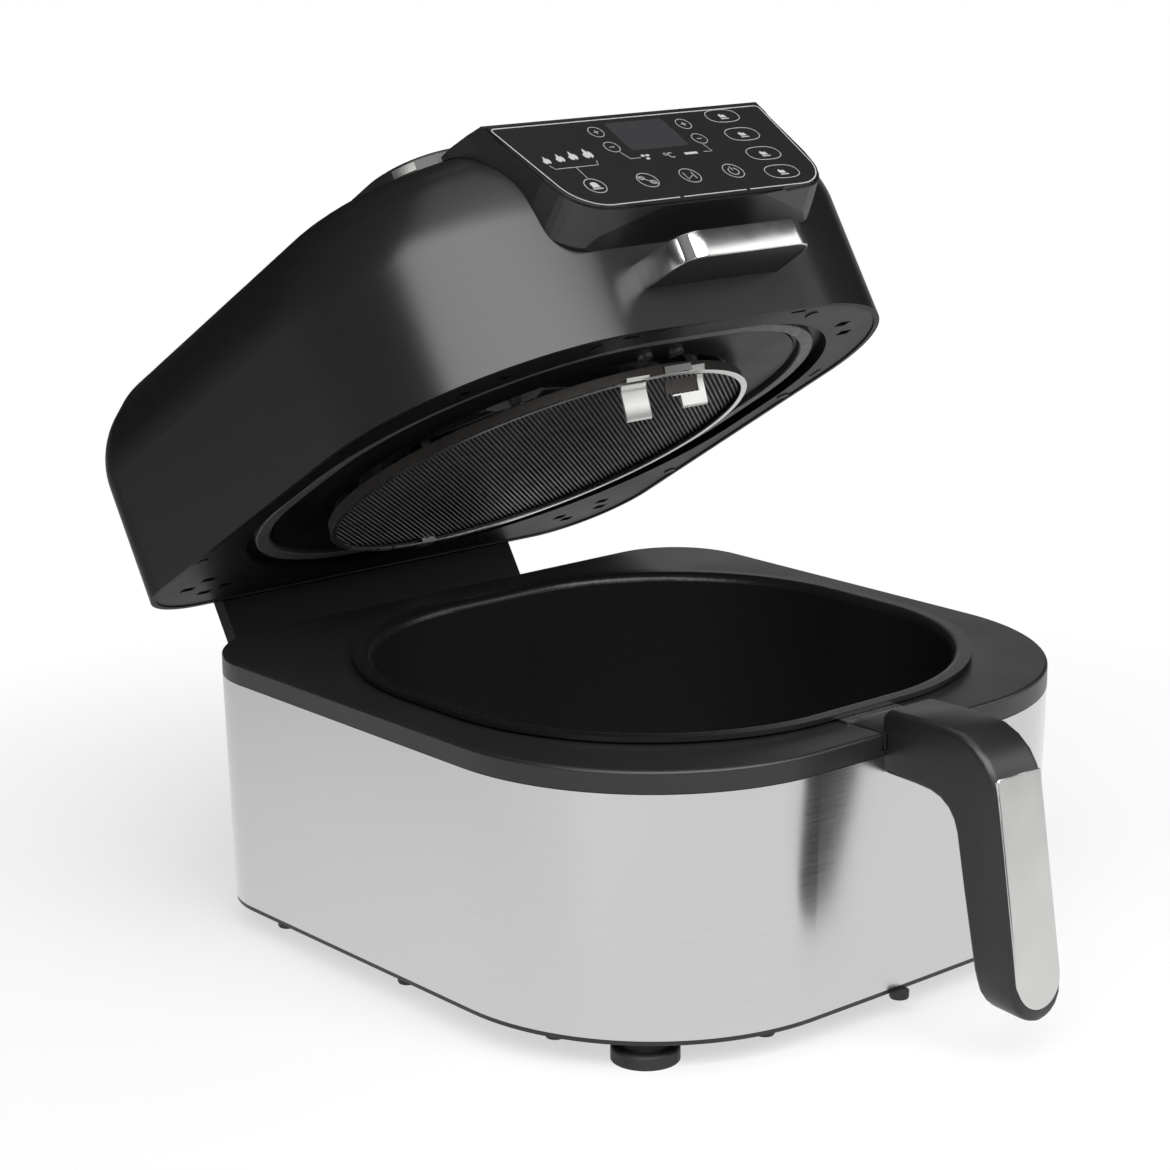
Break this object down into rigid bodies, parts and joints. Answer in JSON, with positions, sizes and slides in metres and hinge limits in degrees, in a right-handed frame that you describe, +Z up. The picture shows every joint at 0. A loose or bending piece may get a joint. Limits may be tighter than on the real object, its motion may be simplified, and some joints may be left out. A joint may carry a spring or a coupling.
{
  "type": "air fryer grill",
  "caption": "Countertop air fryer grill with a hinged lid carrying the heater, fan and touch panel, a lift-out non-stick pot with a long front handle, and a rounded steel body",
  "frame": {"origin": "On the table, under the middle of the overall box of the object with its lid open, 10.71 mm behind the middle of the body", "axes": "+Z is up, -Y is the front with the pot handle and the control panel, +Y is the hinge side, X runs from side to side along the hinge"},
  "size_m": [0.3, 0.4704, 0.3605],
  "materials": {
    "black_plastic": "satin moulded black plastic with a very fine grain",
    "rubber": "matt black rubber",
    "screw_steel": "plain steel fasteners",
    "brushed_steel": "stainless steel, brushed along the band",
    "lid_steel": "dark brushed metal under a satin clear coat",
    "trim_steel": "bright brushed steel trim",
    "bracket_steel": "plain bent steel sheet",
    "liner_metal": "plain drawn sheet",
    "dish_metal": "plain spun and pressed sheet",
    "mesh_steel": "perforated steel sheet",
    "coil_metal": "dark oxidised heater tube",
    "nonstick": "black non-stick coating, satin",
    "gasket_silicone": "grey silicone",
    "panel_glass": "glossy black touch panel",
    "board_green": "circuit board"
  },
  "bodies": {
    "body": {"base_plate": "black_plastic", "rubber_feet": "rubber", "foot_screws": "screw_steel", "plate_studs": "black_plastic", "outer_band": "brushed_steel", "top_rim": "black_plastic", "inner_liner": "liner_metal", "hinge_bracket": "black_plastic", "bracket_screws": "screw_steel", "hinge_pin": "screw_steel", "pot": "nonstick", "pot_bracket": "bracket_steel", "pot_handle": "black_plastic", "handle_insert": "trim_steel", "handle_screws": "screw_steel"},
    "lid": {"hinge_arm": "black_plastic", "hinge_dampers": "screw_steel", "cord_gland": "rubber", "lid_shell": "lid_steel", "lid_underside": "black_plastic", "underside_screws": "screw_steel", "gasket": "gasket_silicone", "heat_shield": "nonstick", "heater_dish": "dish_metal", "dish_screws": "screw_steel", "heater_coil": "coil_metal", "coil_straps": "bracket_steel", "guard_ring": "bracket_steel", "guard_mesh": "mesh_steel", "guard_latch": "bracket_steel", "guard_hook": "bracket_steel", "motor": "dish_metal", "motor_bracket": "dish_metal", "thermostat": "black_plastic", "panel_housing": "black_plastic", "control_panel": "panel_glass", "display_module": "black_plastic", "control_board": "board_green", "grip_body": "black_plastic", "grip_trim": "trim_steel", "top_cap": "black_plastic", "cap_trims": "trim_steel"},
    "fan": {"fan_blades": "dish_metal", "fan_shaft": "screw_steel", "cooling_fan": "dish_metal"}
  },
  "joints": [
    {"name": "lid_hinge", "type": "hinge", "parent": "body", "child": "lid", "pos_m": [0, 0.16239, 0.0193], "axis": [1, 0, 0], "range_deg": [0, 31.7]},
    {"name": "fan_spin", "type": "hinge", "parent": "lid", "child": "fan", "pos_m": [0, 0.07208, 0.20249], "axis": [0, 0.5255, 0.8508], "continuous": true}
  ]
}
